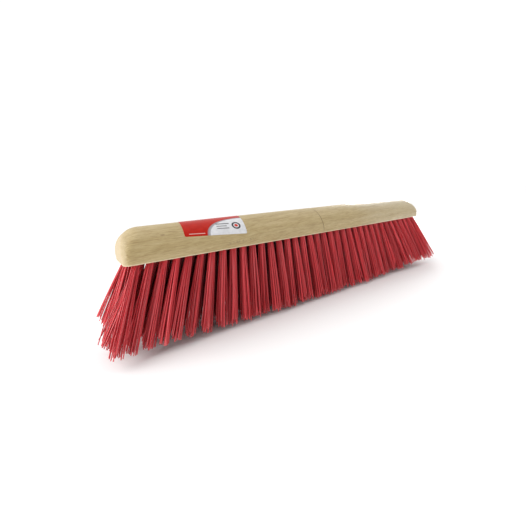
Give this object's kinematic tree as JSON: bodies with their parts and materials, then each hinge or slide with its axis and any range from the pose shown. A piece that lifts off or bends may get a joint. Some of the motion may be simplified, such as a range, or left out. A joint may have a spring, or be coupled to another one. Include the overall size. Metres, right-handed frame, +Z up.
{
  "type": "push broom head",
  "caption": "Wide push broom head: a rounded beech block with a tilted handle socket, rows of splayed red plastic bristle tufts and a wrap-over film label.",
  "frame": {"origin": "the floor_rest mount: under the middle of the block, in the plane of the lowest bristle tips, on which it stands", "axes": "+X along the block, +Y to the back, the side the handle leans to, +Z up from the tips to the crown"},
  "size_m": [0.678, 0.1319, 0.1496],
  "materials": {
    "beech": "sanded beech, fine flecked grain, thin clear satin coat",
    "red_bristle": "stiff red plastic monofilament, satin gloss",
    "label_film": "thin printed film label, orange-red with a pale grey panel"
  },
  "bodies": {
    "root": {"beech_block": "beech", "wrap_label": "label_film", "tufts_front_edge_1": "red_bristle", "tufts_front_edge_2": "red_bristle", "tufts_front_edge_3": "red_bristle", "tufts_front_edge_4": "red_bristle", "tufts_front_edge_5": "red_bristle", "tufts_front_edge_6": "red_bristle", "tufts_front_edge_7": "red_bristle", "tufts_front_edge_8": "red_bristle", "tufts_front_inner_1": "red_bristle", "tufts_front_inner_2": "red_bristle", "tufts_front_inner_3": "red_bristle", "tufts_front_inner_4": "red_bristle", "tufts_front_inner_5": "red_bristle", "tufts_front_inner_6": "red_bristle", "tufts_front_inner_7": "red_bristle", "tufts_front_inner_8": "red_bristle", "tufts_middle_1": "red_bristle", "tufts_middle_2": "red_bristle", "tufts_middle_3": "red_bristle", "tufts_middle_4": "red_bristle", "tufts_middle_5": "red_bristle", "tufts_middle_6": "red_bristle", "tufts_middle_7": "red_bristle", "tufts_middle_8": "red_bristle", "tufts_back_inner_1": "red_bristle", "tufts_back_inner_2": "red_bristle", "tufts_back_inner_3": "red_bristle", "tufts_back_inner_4": "red_bristle", "tufts_back_inner_5": "red_bristle", "tufts_back_inner_6": "red_bristle", "tufts_back_inner_7": "red_bristle", "tufts_back_inner_8": "red_bristle", "tufts_back_edge_1": "red_bristle", "tufts_back_edge_2": "red_bristle", "tufts_back_edge_3": "red_bristle", "tufts_back_edge_4": "red_bristle", "tufts_back_edge_5": "red_bristle", "tufts_back_edge_6": "red_bristle", "tufts_back_edge_7": "red_bristle", "tufts_back_edge_8": "red_bristle"}
  },
  "joints": []
}
